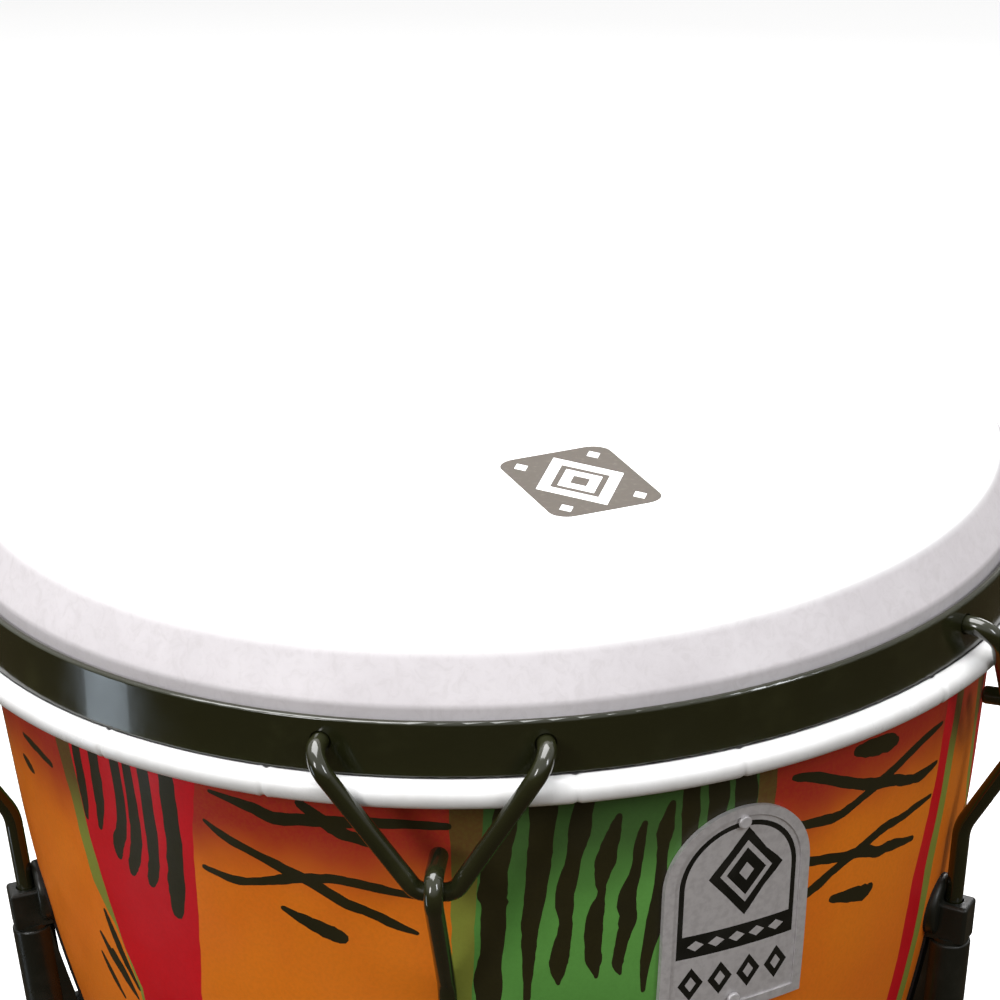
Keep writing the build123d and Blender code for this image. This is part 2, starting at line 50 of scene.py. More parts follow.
# Shell profile, the same as the frame's: wall, bowl arc, waist arc and foot arc
WALL_TOP_R, WALL_TOP_DEPTH = 157.0, 26.0
WALL_SLOPE = math.radians(7.0)
BOWL_DEPTH = 100.0
BOWL_ARC_R = 480.0
BOWL_END_SLOPE = math.radians(32.0)
WAIST_ARC_R = 90.0
FOOT_ARC_R = 690.0
BOWL_R = WALL_TOP_R - (BOWL_DEPTH - WALL_TOP_DEPTH) * math.tan(WALL_SLOPE)
BOWL_CENTRE_R = BOWL_R - BOWL_ARC_R * math.cos(WALL_SLOPE)
BOWL_CENTRE_DEPTH = BOWL_DEPTH - BOWL_ARC_R * math.sin(WALL_SLOPE)
BOWL_END_DEPTH = BOWL_CENTRE_DEPTH + BOWL_ARC_R * math.sin(BOWL_END_SLOPE)
WAIST_CENTRE_R = BOWL_CENTRE_R + (BOWL_ARC_R + WAIST_ARC_R) * math.cos(BOWL_END_SLOPE)
WAIST_DEPTH = BOWL_END_DEPTH + WAIST_ARC_R * math.sin(BOWL_END_SLOPE)
WAIST_R = WAIST_CENTRE_R - WAIST_ARC_R
FOOT_CENTRE_R = WAIST_R + FOOT_ARC_R

# Head, as on the frame
FILM = 0.5
HEAD_CORNER_R = 153.5
HEAD_FILLET = 4.5
KNEE_R, KNEE_DEPTH = 160.8, 16.0
HOOP_R, HOOP_DEPTH = 164.6, 39.9
CORE_RADIUS = 3.7
WRAP_END = math.radians(97.0)
KNEE_FILLET = 4.5
LIP_GAP, CREST_DEPTH, CREST_BACK = 0.35, 0.7, 1.6

# Badge, in millimetres across and down from the middle of its top edge
BADGE_TURN, BADGE_TOP_DEPTH = 32.5, 59.8
BADGE_HALF, BADGE_HEIGHT = 23.5, 68.6
ENAMEL_BACK, ENAMEL_FACE = 0.7, 1.06


# ---------------------------------------------------------------- geometry helpers
def shell_surface(depth):
    """Radius of the shell's outer surface at a depth, and the slope of its wall there, in radians."""
    if depth < BOWL_DEPTH:
        return WALL_TOP_R - (depth - WALL_TOP_DEPTH) * math.tan(WALL_SLOPE), WALL_SLOPE
    if depth < BOWL_END_DEPTH:
        slope = math.asin((depth - BOWL_CENTRE_DEPTH) / BOWL_ARC_R)
        return BOWL_CENTRE_R + BOWL_ARC_R * math.cos(slope), slope
    if depth < WAIST_DEPTH:
        slope = math.asin((WAIST_DEPTH - depth) / WAIST_ARC_R)
        return WAIST_CENTRE_R - WAIST_ARC_R * math.cos(slope), slope
    slope = math.asin((depth - WAIST_DEPTH) / FOOT_ARC_R)
    return FOOT_CENTRE_R - FOOT_ARC_R * math.cos(slope), -slope


def on_shell(turn, depth, offset=0.0):
    """Point on the shell's outer surface in metres, moved outward by offset millimetres, and its normal."""
    radius, slope = shell_surface(depth)
    angle = math.radians(turn - 90.0)
    across, up = math.cos(slope), -math.sin(slope)
    normal = Vector((math.cos(angle) * across, math.sin(angle) * across, up))
    point = Vector((math.cos(angle) * radius, math.sin(angle) * radius, HEIGHT - depth)) + offset * normal
    return point * MM, normal


def add_piece(name, points, faces, body, materials, slots=None, normals=None):
    """New mesh object on a body, smooth shaded, with one material index for each face."""
    mesh = bpy.data.meshes.new(name)
    mesh.from_pydata([tuple(point) for point in points], [], faces)
    for material in materials:
        mesh.materials.append(material)
    for face in mesh.polygons:
        face.use_smooth = True
        if slots:
            face.material_index = slots[face.index]
    mesh.update()
    if normals:
        mesh.normals_split_custom_set_from_vertices([tuple(normal) for normal in normals])
    piece = bpy.data.objects.new(name, mesh)
    bpy.context.scene.collection.objects.link(piece)
    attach(piece, body)
    return piece


def closed_sheet(name, outer, inner, faces, body, materials, slots, normals):
    """Thin closed solid: an outer skin, the same points on an inner skin, and a rim along open edges."""
    count = len(outer)
    used = {}
    for face in faces:
        for a, b in zip(face, face[1:] + face[:1]):
            used[(a, b)] = True
    all_faces = [list(face) for face in faces]
    all_slots = list(slots)
    for face, slot_index in zip(faces, slots):
        all_faces.append([index + count for index in reversed(face)])
        all_slots.append(slot_index)
    for a, b in used:
        if (b, a) not in used:
            all_faces.append([b, a, a + count, b + count])
            all_slots.append(0)
    all_normals = list(normals) + [-normal for normal in normals]
    return add_piece(name, outer + inner, all_faces, body, materials, all_slots, all_normals)


def between(start, end, step):
    """Values strictly between two ends, about a step apart."""
    count = max(int(abs(end - start) / step), 1)
    return [start + (end - start) * index / count for index in range(1, count)]


def regular_turns(count):
    """Equal turns once round the drum."""
    return [360.0 * step / count for step in range(count)]


def arc_points(centre, radius, start, end, steps):
    """Points of an arc of radius and depth, angles in radians from outward towards up."""
    made = []
    for step in range(steps + 1):
        angle = start + (end - start) * step / steps
        made.append((centre[0] + radius * math.cos(angle), centre[1] - radius * math.sin(angle)))
    return made


# ---------------------------------------------------------------- material helpers
class Look:
    """Node material with short calls for the nodes that the looks here share."""

    def __init__(self, name, colour, roughness, **inputs):
        self.material = bpy.data.materials.new(name)
        self.material.use_nodes = True
        self.tree = self.material.node_tree
        self.shader = self.tree.nodes["Principled BSDF"]
        self.shader.inputs["Base Color"].default_value = (*colour, 1.0)
        self.shader.inputs["Roughness"].default_value = roughness
        for label, value in inputs.items():
            self.shader.inputs[label.replace("_", " ")].default_value = value
        self.place = self.tree.nodes.new("ShaderNodeTexCoord").outputs["Object"]
        self.height = None

    def link(self, source, target):
        self.tree.links.new(source, target)

    def stretch(self, scale):
        """Object coordinates stretched along each axis."""
        node = self.tree.nodes.new("ShaderNodeMapping")
        node.inputs["Scale"].default_value = scale
        self.link(self.place, node.inputs["Vector"])
        return node.outputs["Vector"]

    def noise(self, scale, detail=3.0, roughness=0.55, distortion=0.0, vector=None):
        node = self.tree.nodes.new("ShaderNodeTexNoise")
        node.inputs["Scale"].default_value = scale
        node.inputs["Detail"].default_value = detail
        node.inputs["Roughness"].default_value = roughness
        node.inputs["Distortion"].default_value = distortion
        self.link(vector or self.place, node.inputs["Vector"])
        return node.outputs["Fac"]

    def ramp(self, value, low, high, to_low=0.0, to_high=1.0):
        node = self.tree.nodes.new("ShaderNodeMapRange")
        node.interpolation_type = "SMOOTHSTEP"
        labels = ("From Min", "From Max", "To Min", "To Max")
        for label, number in zip(labels, (low, high, to_low, to_high)):
            node.inputs[label].default_value = number
        self.link(value, node.inputs["Value"])
        return node.outputs["Result"]

    def maths(self, operation, first, second):
        node = self.tree.nodes.new("ShaderNodeMath")
        node.operation = operation
        for index, value in enumerate((first, second)):
            if isinstance(value, (int, float)):
                node.inputs[index].default_value = value
            else:
                self.link(value, node.inputs[index])
        return node.outputs["Value"]

    def mix(self, factor, first, second):
        """Colour mix: each side is a colour or an earlier output."""
        node = self.tree.nodes.new("ShaderNodeMix")
        node.data_type = "RGBA"
        self.link(factor, node.inputs["Factor"])
        for label, value in (("A", first), ("B", second)):
            socket = [entry for entry in node.inputs if entry.name == label and entry.type == "RGBA"][0]
            if isinstance(value, tuple):
                socket.default_value = (*value, 1.0)
            else:
                self.link(value, socket)
        return [entry for entry in node.outputs if entry.type == "RGBA"][0]

    def up(self):
        """Height above the floor, in metres."""
        node = self.tree.nodes.new("ShaderNodeSeparateXYZ")
        self.link(self.place, node.inputs["Vector"])
        return node.outputs["Z"]

    def colour(self, output):
        self.link(output, self.shader.inputs["Base Color"])

    def roughness(self, output):
        self.link(output, self.shader.inputs["Roughness"])

    def bump(self, height, distance, strength=1.0):
        """Bump from a height output, distance in metres, chained after any earlier bump."""
        node = self.tree.nodes.new("ShaderNodeBump")
        node.inputs["Strength"].default_value = strength
        node.inputs["Distance"].default_value = distance
        self.link(height, node.inputs["Height"])
        if self.height:
            self.link(self.height, node.inputs["Normal"])
        self.height = node.outputs["Normal"]
        self.link(self.height, self.shader.inputs["Normal"])


def depth_height(depth):
    """Height in metres of a depth in millimetres."""
    return (HEIGHT - depth) * MM


# ---------------------------------------------------------------- materials
def print_look(name, colour, shade, top_tint_and_shade=None):
    """Printed wrap: one ink with soft mottling and a fine grain, blending near the head into an optional
    darker top colour, partly a printed redder tint and partly painted shade under the head's hoop and rim.
    """
    look = Look(name, colour, 0.42, Specular_IOR_Level=0.35)
    cloud = look.ramp(look.noise(14.0, 4.0, 0.6), 0.35, 0.7)
    tone = look.mix(cloud, colour, shade)
    # painted shade: towards the head the print darkens into the top colour, which stands in for shade under
    # the hoop and rim; its redder cast is printed tint
    if top_tint_and_shade:
        edge = look.maths("MULTIPLY", look.noise(26.0, 3.0), 0.022)
        level = look.maths("ADD", look.up(), edge)
        tone = look.mix(look.ramp(level, depth_height(76.0), depth_height(48.0)), tone, top_tint_and_shade)
    grain = look.noise(900.0, 2.0)
    speck = look.ramp(grain, 0.3, 0.75, 0.0, 0.16)
    dark = tuple(channel * 0.55 for channel in colour)
    look.colour(look.mix(speck, tone, dark))
    look.roughness(look.ramp(look.noise(60.0, 3.0), 0.3, 0.7, 0.34, 0.5))
    look.bump(grain, 0.00003)
    look.bump(look.noise(35.0, 2.0), 0.0004, 0.25)
    return look.material


def black_paint_look():
    """Gloss black powder coat with a faint orange peel, thin dust and softer worn patches."""
    colour = (0.014, 0.015, 0.005)
    coat = {"Coat_Weight": 0.5, "Coat_Roughness": 0.05}
    look = Look("black_gloss_paint", colour, 0.12, Specular_IOR_Level=0.5, **coat)
    dusty = tuple(channel * 2.4 + 0.004 for channel in colour)
    look.colour(look.mix(look.ramp(look.noise(55.0, 5.0), 0.5, 0.8, 0.0, 0.5), colour, dusty))
    look.roughness(look.ramp(look.noise(38.0, 4.0), 0.3, 0.75, 0.09, 0.24))
    look.bump(look.noise(420.0, 2.0), 0.00004, 0.5)
    return look.material


def casting_look():
    """Black powder coat over a cast surface: less gloss and a coarser skin."""
    look = Look("black_casting", (0.012, 0.013, 0.009), 0.34, Specular_IOR_Level=0.45)
    worn = look.ramp(look.noise(80.0, 5.0), 0.45, 0.8)
    look.colour(look.mix(worn, (0.010, 0.011, 0.008), (0.028, 0.028, 0.022)))
    look.roughness(look.ramp(look.noise(50.0, 4.0), 0.3, 0.7, 0.26, 0.46))
    look.bump(look.noise(700.0, 3.0), 0.00008, 0.6)
    return look.material


def film_look():
    """White coated film: bright playing surface, greyer mottled collar with fine fibres."""
    look = Look("coated_film", (0.9, 0.9, 0.9), 0.5, Specular_IOR_Level=0.3)
    fibres = look.noise(240.0, 6.0, 0.7, 1.2)
    cloud = look.noise(30.0, 5.0, 0.65)
    top = look.mix(look.ramp(cloud, 0.3, 0.75), (0.93, 0.93, 0.935), (0.90, 0.90, 0.91))
    collar = look.mix(look.ramp(cloud, 0.3, 0.75), (0.63, 0.60, 0.62), (0.57, 0.54, 0.56))
    collar = look.mix(look.ramp(fibres, 0.42, 0.72, 0.0, 0.4), collar, (0.48, 0.45, 0.46))
    on_collar = look.ramp(look.up(), depth_height(0.4), depth_height(4.5))
    look.colour(look.mix(on_collar, top, collar))
    look.roughness(look.ramp(cloud, 0.3, 0.7, 0.42, 0.6))
    look.bump(fibres, 0.00006, 0.5)
    look.bump(cloud, 0.0002, 0.3)
    return look.material


def bead_look():
    """White glossy edge of the film where it is heat-formed round the hoop."""
    look = Look("film_edge", (0.9, 0.9, 0.9), 0.3, Specular_IOR_Level=0.5)
    cloud = look.noise(90.0, 4.0, 0.6)
    look.colour(look.mix(look.ramp(cloud, 0.35, 0.7), (0.92, 0.92, 0.92), (0.84, 0.835, 0.83)))
    look.roughness(look.ramp(cloud, 0.3, 0.7, 0.24, 0.4))
    look.bump(look.noise(160.0, 3.0), 0.00012, 0.5)
    return look.material


def mark_look():
    """Dark brown ink of the mark on the playing surface, slightly thin in places."""
    look = Look("head_ink", (0.06, 0.045, 0.03), 0.55, Specular_IOR_Level=0.3)
    thin = look.ramp(look.noise(500.0, 3.0), 0.5, 0.8, 0.0, 0.35)
    look.colour(look.mix(thin, (0.055, 0.042, 0.030), (0.14, 0.115, 0.09)))
    look.bump(look.noise(900.0, 2.0), 0.00002, 0.4)
    return look.material


def rubber_look(name, colour):
    """Matte black rubber with a fine moulded grain and paler scuffs."""
    look = Look(name, colour, 0.75, Specular_IOR_Level=0.3)
    pale = tuple(channel * 2.5 + 0.01 for channel in colour)
    look.colour(look.mix(look.ramp(look.noise(40.0, 6.0), 0.5, 0.85), colour, pale))
    look.roughness(look.ramp(look.noise(120.0, 3.0), 0.3, 0.7, 0.62, 0.88))
    look.bump(look.noise(1100.0, 2.0), 0.0001, 0.5)
    return look.material


def plastic_look():
    """Plain dark moulded plastic of the shell's inside and lip."""
    look = Look("shell_plastic", (0.035, 0.034, 0.034), 0.5, Specular_IOR_Level=0.4)
    cloud = look.ramp(look.noise(20.0, 5.0), 0.3, 0.7)
    look.colour(look.mix(cloud, (0.030, 0.030, 0.031), (0.05, 0.049, 0.048)))
    look.roughness(look.ramp(look.noise(45.0, 4.0), 0.3, 0.7, 0.42, 0.62))
    look.bump(look.noise(260.0, 4.0), 0.00015, 0.5)
    return look.material


def steel_look(name, colour, scratch):
    """Bare or plated metal with fine brushing along one direction."""
    look = Look(name, colour, 0.32, Metallic=1.0)
    brushed = look.noise(300.0, 4.0, 0.6, 0.0, look.stretch(scratch))
    dull = tuple(channel * 0.72 for channel in colour)
    look.colour(look.mix(look.ramp(brushed, 0.35, 0.7), colour, dull))
    look.roughness(look.ramp(brushed, 0.3, 0.7, 0.24, 0.42))
    look.bump(brushed, 0.00003, 0.5)
    return look.material


def plate_look(name):
    """Pale satin metal of the badge, brushed too finely to show single lines."""
    look = Look(name, (0.66, 0.64, 0.65), 0.45, Metallic=0.35)
    grain = look.noise(500.0, 3.0)
    look.colour(look.mix(look.ramp(grain, 0.35, 0.7), (0.68, 0.66, 0.67), (0.58, 0.56, 0.57)))
    look.bump(grain, 0.00002, 0.4)
    return look.material


def enamel_look():
    """Black enamel filled into the badge."""
    look = Look("badge_enamel", (0.008, 0.009, 0.008), 0.22, Specular_IOR_Level=0.5)
    cloud = look.ramp(look.noise(90.0, 4.0), 0.4, 0.8)
    look.colour(look.mix(cloud, (0.007, 0.008, 0.007), (0.02, 0.02, 0.018)))
    look.bump(look.noise(300.0, 2.0), 0.00005, 0.4)
    return look.material


# ---------------------------------------------------------------- camera and light
CAMERA_TURN = 6.1
CAMERA_DISTANCE, CAMERA_HEIGHT = 1.2688, 1.107
CAMERA_DOWN, CAMERA_YAW, CAMERA_ROLL = 0.3879, 0.0029, -0.0332
CAMERA_LENS, CAMERA_SENSOR = 162.7, 36.0
LIGHT_AIM = Vector((0.0, 0.0, 0.5))


def add_camera():
    """Long lens in front of the drum, a little above it and slightly rolled."""
    pitch, yaw, roll = CAMERA_DOWN, CAMERA_YAW, CAMERA_ROLL
    forward = Vector((math.sin(yaw) * math.cos(pitch), math.cos(yaw) * math.cos(pitch), -math.sin(pitch)))
    right = Vector((math.cos(yaw), -math.sin(yaw), 0.0))
    up = right.cross(forward)
    across = right * math.cos(roll) + up * math.sin(roll)
    upward = up * math.cos(roll) - right * math.sin(roll)
    facing = Matrix((across, upward, -forward)).transposed()
    turn = Matrix.Rotation(math.radians(CAMERA_TURN), 3, "Z")
    place = turn @ Vector((0.0, -CAMERA_DISTANCE, CAMERA_HEIGHT))
    data = bpy.data.cameras.new("camera")
    data.lens = CAMERA_LENS
    data.sensor_width = CAMERA_SENSOR
    data.clip_end = 100.0
    camera = bpy.data.objects.new("camera", data)
    camera.matrix_world = Matrix.Translation(place) @ (turn @ facing).to_4x4()
    bpy.context.scene.collection.objects.link(camera)
    bpy.context.scene.camera = camera


def add_softbox(name, place, size, power, colour=(1.0, 1.0, 1.0)):
    """Rectangular area light at a place, aimed at the drum."""
    data = bpy.data.lights.new(name, "AREA")
    data.shape = "RECTANGLE"
    data.size, data.size_y = size
    data.energy = power
    data.color = colour
    light = bpy.data.objects.new(name, data)
    light.location = place
    light.rotation_euler = (Vector(place) - LIGHT_AIM).to_track_quat("Z", "Y").to_euler()
    bpy.context.scene.collection.objects.link(light)


def add_room():
    """World light: a pale ceiling and walls over a dark brown floor, blended at the horizon."""
    world = bpy.data.worlds.new("studio")
    bpy.context.scene.world = world
    world.use_nodes = True
    tree = world.node_tree
    place = tree.nodes.new("ShaderNodeTexCoord")
    split = tree.nodes.new("ShaderNodeSeparateXYZ")
    ramp = tree.nodes.new("ShaderNodeValToRGB")
    tree.links.new(place.outputs["Generated"], split.inputs["Vector"])
    tree.links.new(split.outputs["Z"], ramp.inputs["Fac"])
    tree.links.new(ramp.outputs["Color"], tree.nodes["Background"].inputs["Color"])
    ramp.color_ramp.elements[0].position = 0.02
    ramp.color_ramp.elements[0].color = (0.075, 0.055, 0.032, 1.0)
    ramp.color_ramp.elements[1].position = 0.45
    ramp.color_ramp.elements[1].color = (0.80, 0.80, 0.80, 1.0)
    tree.nodes["Background"].inputs["Strength"].default_value = 1.0


def add_floor():
    """Pale sweep under and behind the drum, which neither lights it nor shows in its gloss."""
    mesh = bpy.data.meshes.new("floor")
    reach = 30.0
    corners = [(-reach, -reach, 0.0), (reach, -reach, 0.0), (reach, reach, 0.0), (-reach, reach, 0.0)]
    mesh.from_pydata(corners, [], [(0, 1, 2, 3)])
    mesh.materials.append(Look("pale_floor", (0.93, 0.93, 0.93), 0.8, Specular_IOR_Level=0.1).material)
    floor = bpy.data.objects.new("floor", mesh)
    floor.visible_diffuse = False
    floor.visible_glossy = False
    bpy.context.scene.collection.objects.link(floor)


def add_studio():
    """Room, floor and softboxes: overhead, two in front, one behind, and a low window on the left."""
    add_room()
    add_floor()
    add_softbox("overhead", (-0.2, 0.1, 2.3), (1.6, 1.6), 62.0)
    add_softbox("front_left", (-1.3, -1.9, 1.6), (0.5, 0.8), 17.0)
    add_softbox("front_right", (1.7, -1.3, 1.8), (0.4, 0.8), 13.0, (0.93, 0.96, 1.0))
    add_softbox("behind", (0.3, 2.0, 1.25), (1.6, 0.4), 16.0)
    add_softbox("low_window", (-1.2, -0.3, 0.1), (0.25, 0.5), 1.2, (0.75, 0.88, 1.0))
    bpy.context.scene.view_settings.view_transform = "Standard"


# ---------------------------------------------------------------- printed wrap
MAP_SCALE = 2.7  # map millimetres for one degree round the drum
MAP_TOP, MAP_BOTTOM = 44.0, 606.0  # printed map's ends
PRINT_TOP, PRINT_BOTTOM = 45.0, 601.0
SEAM_TURN, SEAM_REACH = -49.0, 12.0
TURNS = 144
INSIDE_WALL = 5.2
BRUSH_WEIGHT = 1.28  # widens every stroke except the green panel's stripes
LOWER_WEIGHT = 0.9  # the lower rows' marks are a little thinner
THIN_BRUSH = 0.25
FOOT_MARGIN = 10.0  # no mark comes closer than this to the map's foot
MAP_TOLERANCE = 0.0005
FULL_BRUSH_R = 140.0  # where the shell is narrower, strokes narrow with it
REPEAT = 126.0
REPEATS = 3
REPEAT_REST = 360.0 - (REPEATS - 1) * REPEAT
ROW_STEP = 8.0

# Panels of one repeat: colour, and points of turn and depth down the panel's left edge
PANELS = (
    ("olive", ((-49.9, 55), (-48.8, 75), (-47.5, 100), (-44.4, 114), (-42.4, 133))),
    ("red", ((-47.2, 50), (-46.5, 80), (-45.0, 100), (-43.5, 120), (-42.0, 133))),
    ("orange", ((-27.3, 50), (-28.5, 70), (-29.8, 100), (-31.2, 125))),
    ("olive", ((1.0, 55), (0.7, 90), (0.2, 115))),
    ("green", ((4.6, 50), (3.4, 80), (2.2, 115))),
    ("olive", ((34.4, 50), (34.2, 120))),
    ("orange", ((36.6, 50), (36.4, 120))),
    ("red", ((65.2, 55), (65.0, 80), (63.2, 100), (62.0, 115))),
    ("olive", ((67.9, 60), (67.0, 89), (65.5, 112))),
    ("orange", ((70.2, 60), (69.2, 89), (67.4, 112))),
)

# Brush strokes of one repeat: points of turn, depth and half width
DRIPS = (
    ((-45.5, 44, 1.5), (-45.7, 60, 1.7), (-45.8, 70, 1.5), (-46.0, 78, 0.7)),
    ((-42.4, 44, 1.7), (-42.6, 62, 1.9), (-43.0, 72, 1.6), (-43.6, 79, 0.8)),
    ((-39.0, 44, 1.5), (-38.9, 62, 1.6), (-39.4, 74, 1.7), (-40.7, 82, 1.9), (-40.9, 86, 1.1)),
    ((-37.0, 44, 1.3), (-37.0, 65, 1.6), (-37.4, 78, 1.9), (-38.6, 87, 1.7), (-39.0, 90, 1.0)),
    ((-34.5, 44, 1.6), (-34.6, 66, 1.8), (-34.9, 80, 1.8), (-35.5, 87, 1.8), (-36.0, 91, 1.2)),
    ((-31.3, 44, 2.0), (-31.3, 62, 2.3), (-31.7, 80, 2.4), (-32.2, 90, 2.4), (-32.6, 98, 1.8)),
)
LEFT_TWIGS = (
    (
        (-25.5, 52.6, 0.5), (-21, 54.8, 1.4), (-18, 57.2, 1.7), (-15.2, 56.6, 1.6),
        (-11, 55.8, 1.5), (-5, 55, 1.3), (0.8, 55.4, 0.9),
    ),
    ((-14.8, 51, 1.2), (-12.4, 56, 1.7), (-10.2, 59.5, 1.6), (-7.6, 61.6, 1.3), (-5.4, 62.6, 0.6)),
    (
        (-26.7, 63, 0.5), (-24.4, 66.8, 1.1), (-21, 70.2, 1.1), (-17.4, 74, 1.4), (-14, 77.6, 1.4),
        (-11.2, 82, 1.4), (-8.2, 85, 1.3), (-5.6, 88.2, 1.2), (-3.1, 91, 0.5),
    ),
    (
        (-27.6, 79, 0.7), (-24, 80.8, 1.1), (-21, 79.8, 1.0), (-18, 77.6, 1.3), (-15, 75.8, 1.2),
        (-12, 75, 1.2), (-9.2, 75.7, 1.2), (-6, 77.2, 1.1), (-2.6, 79, 0.6),
    ),
    ((-18.1, 87.2, 0.7), (-15.6, 90.3, 1.5), (-13, 93, 1.9), (-11.6, 94.4, 1.7)),
)
GREEN_STRIPES = (
    (
        (7.4, 44, 3.2), (6.6, 56, 3.6), (5.9, 66, 3.7), (5.2, 76, 4.2), (5.2, 84, 3.6),
        (4.8, 96, 3.3), (4.4, 107, 3.9), (4.3, 120, 3.2), (4.6, 132, 1.4),
    ),
    (
        (10.9, 44, 4.1), (10.5, 58, 3.6), (10.1, 69, 3.4), (9.6, 80, 3.0), (9.0, 90, 2.5),
        (8.8, 100, 1.8), (8.5, 113, 1.0), (8.4, 120, 0.5),
    ),
    (
        (15.4, 44, 2.6), (14.3, 60, 3.0), (13.8, 68, 2.3), (12.8, 79, 2.9), (12.9, 89, 1.9),
        (12.3, 98, 2.7), (12, 104, 2.4), (12, 109, 0.6),
    ),
    (
        (18.6, 55.5, 1.0), (18.0, 61, 2.1), (17.2, 70, 2.9), (16.7, 76, 1.8), (16.8, 80, 1.2),
        (16.2, 86, 2.3), (15.8, 96, 2.6), (16.0, 102, 2.4), (16.2, 108, 0.6),
    ),
    (
        (21.4, 59, 0.9), (20.9, 65, 1.6), (20.5, 74, 1.6), (19.6, 82, 2.7), (19.7, 90, 2.6),
        (19.1, 97, 1.9), (18.6, 104, 1.7), (18.9, 108, 0.5),
    ),
    (
        (24.4, 54, 1.0), (23.7, 62, 2.5), (23.4, 70, 1.6), (23.2, 82, 2.0), (22.6, 94, 2.4),
        (21.8, 105, 1.6), (21.6, 115, 0.7),
    ),
    ((26.5, 44, 2.5), (26.5, 56, 2.7), (26.3, 68, 2.2), (25.6, 84, 2.0), (25.4, 98, 1.1)),
    ((29.6, 44, 2.9), (29.6, 56, 3.2), (29.2, 70, 2.6), (28.8, 88, 2.2), (28.4, 106, 1.0)),
    ((32.7, 44, 3.5), (32.9, 58, 3.6), (32.5, 74, 2.8), (31.9, 92, 2.6), (31.8, 112, 1.2)),
)
RIGHT_TWIGS = (
    (
        (39, 55.8, 0.9), (42, 58.2, 1.3), (46, 63.4, 1.4), (49, 67, 1.4), (52, 69.7, 1.6),
        (55, 71.8, 1.4), (58, 75, 1.3), (61, 76.4, 1.4), (64.2, 76.2, 0.7),
    ),
    (
        (40.2, 72.4, 1.1), (43, 73.7, 1.4), (46, 74.2, 1.3), (49, 72, 1.2), (52, 69.6, 1.4),
        (55, 67.4, 1.3), (58, 65.2, 1.2), (61.2, 63.8, 1.1), (64.4, 63.4, 0.6),
    ),
    ((47.9, 55, 1.5), (50.6, 56.3, 2.4), (53.2, 57.6, 2.3), (54.2, 58.2, 1.5)),
    (
        (40.6, 85, 1.0), (44, 87.2, 1.3), (47, 89.2, 1.3), (50.2, 90.6, 1.5), (53.2, 93.6, 1.4),
        (56.2, 94.6, 1.4), (60.4, 97.2, 0.7),
    ),
    (
        (40.8, 98, 1.1), (43.4, 95.3, 1.4), (46, 92.3, 1.2), (49, 90, 1.3), (51.6, 88, 1.3),
        (54.2, 86.4, 1.3), (57.2, 86.7, 1.1), (60.3, 86.4, 1.0), (63.8, 86.8, 0.6),
    ),
    ((46, 102.2, 1.0), (49, 104, 1.8), (51.4, 105.4, 2.1), (52.4, 105, 1.4)),
)
SIDE_MARKS = (
    ((-59.6, 65, 0.7), (-56, 65.6, 1.2), (-52.4, 67.2, 0.9)),
    ((-61.6, 74.6, 0.8), (-60, 75.6, 1.5), (-58.8, 76.4, 0.8)),
)
HATCHING = (
    ((-46.2, 110, 0.6), (-45.3, 117, 1.2), (-44.2, 125, 1.2), (-42.6, 134, 0.5)),
    ((-48.4, 120, 0.6), (-46.9, 126, 1.2), (-45.2, 132, 1.0), (-43.8, 137, 0.5)),
    ((-46.4, 124, 0.5), (-45.0, 130, 1.0), (-43.4, 138, 0.5)),
    ((-49.4, 128, 0.5), (-48.2, 134, 1.1), (-46.6, 141, 0.5)),
)
LOWER_ROWS = ((104.0, 14.0), (212.0, 3.0), (330.0, 10.0), (424.0, 2.0))


def panel_edge(drawn, depth, seed):
    """Turn of a panel's edge at a depth: through its drawn points, and wavering as if cut by hand."""
    turn = drawn[0][0] if depth < drawn[0][1] else drawn[-1][0]
    for (turn_a, depth_a), (turn_b, depth_b) in zip(drawn, drawn[1:]):
        if depth_a <= depth < depth_b:
            turn = turn_a + (turn_b - turn_a) * (depth - depth_a) / (depth_b - depth_a)
    waver = noise.noise(Vector((depth * 0.045, seed * 7.3, 0.5))) * 0.35
    fine = noise.noise(Vector((depth * 0.35, seed * 3.1, 4.5))) * 0.14
    return turn + waver + fine


def panel_rows():
    """Depths of the points down each panel's edge."""
    count = int((PRINT_BOTTOM - PRINT_TOP) / (ROW_STEP / 2))
    return [PRINT_TOP + (PRINT_BOTTOM - PRINT_TOP) * row / count for row in range(count + 1)]


def all_panels():
    """Colour and edge line of every panel round the drum, in order, with the last repeat cut short."""
    made = []
    rows = panel_rows()
    for repeat in range(REPEATS):
        keep = PANELS if repeat < REPEATS - 1 else PANELS[:-3]
        for index, (colour, drawn) in enumerate(keep):
            seed = index + repeat * len(PANELS)
            made.append((colour, [(panel_edge(drawn, row, seed) + repeat * REPEAT, row) for row in rows]))
    return made


def panel_outlines(edges):
    """Closed map outlines of the panels. The last one ends a full turn after the first begins."""
    made = []
    for index, left in enumerate(edges):
        if index < len(edges) - 1:
            right = edges[index + 1]
        else:
            right = [(turn + 360.0, depth) for turn, depth in edges[0]]
        made.append(left + right[::-1])
    return made


def map_outline(seam):
    """Closed outline of the whole map: down the seam, along the foot, up the seam's other side and back."""
    left = [(SEAM_TURN, MAP_TOP)] + seam + [(SEAM_TURN, MAP_BOTTOM)]
    right = [(turn + 360.0, depth) for turn, depth in left]
    along = [SEAM_TURN + 360.0 * step / TURNS for step in range(1, TURNS)]
    foot = [(turn, MAP_BOTTOM) for turn in along]
    top = [(turn, MAP_TOP) for turn in along[::-1]]
    return left + foot + right[::-1] + top


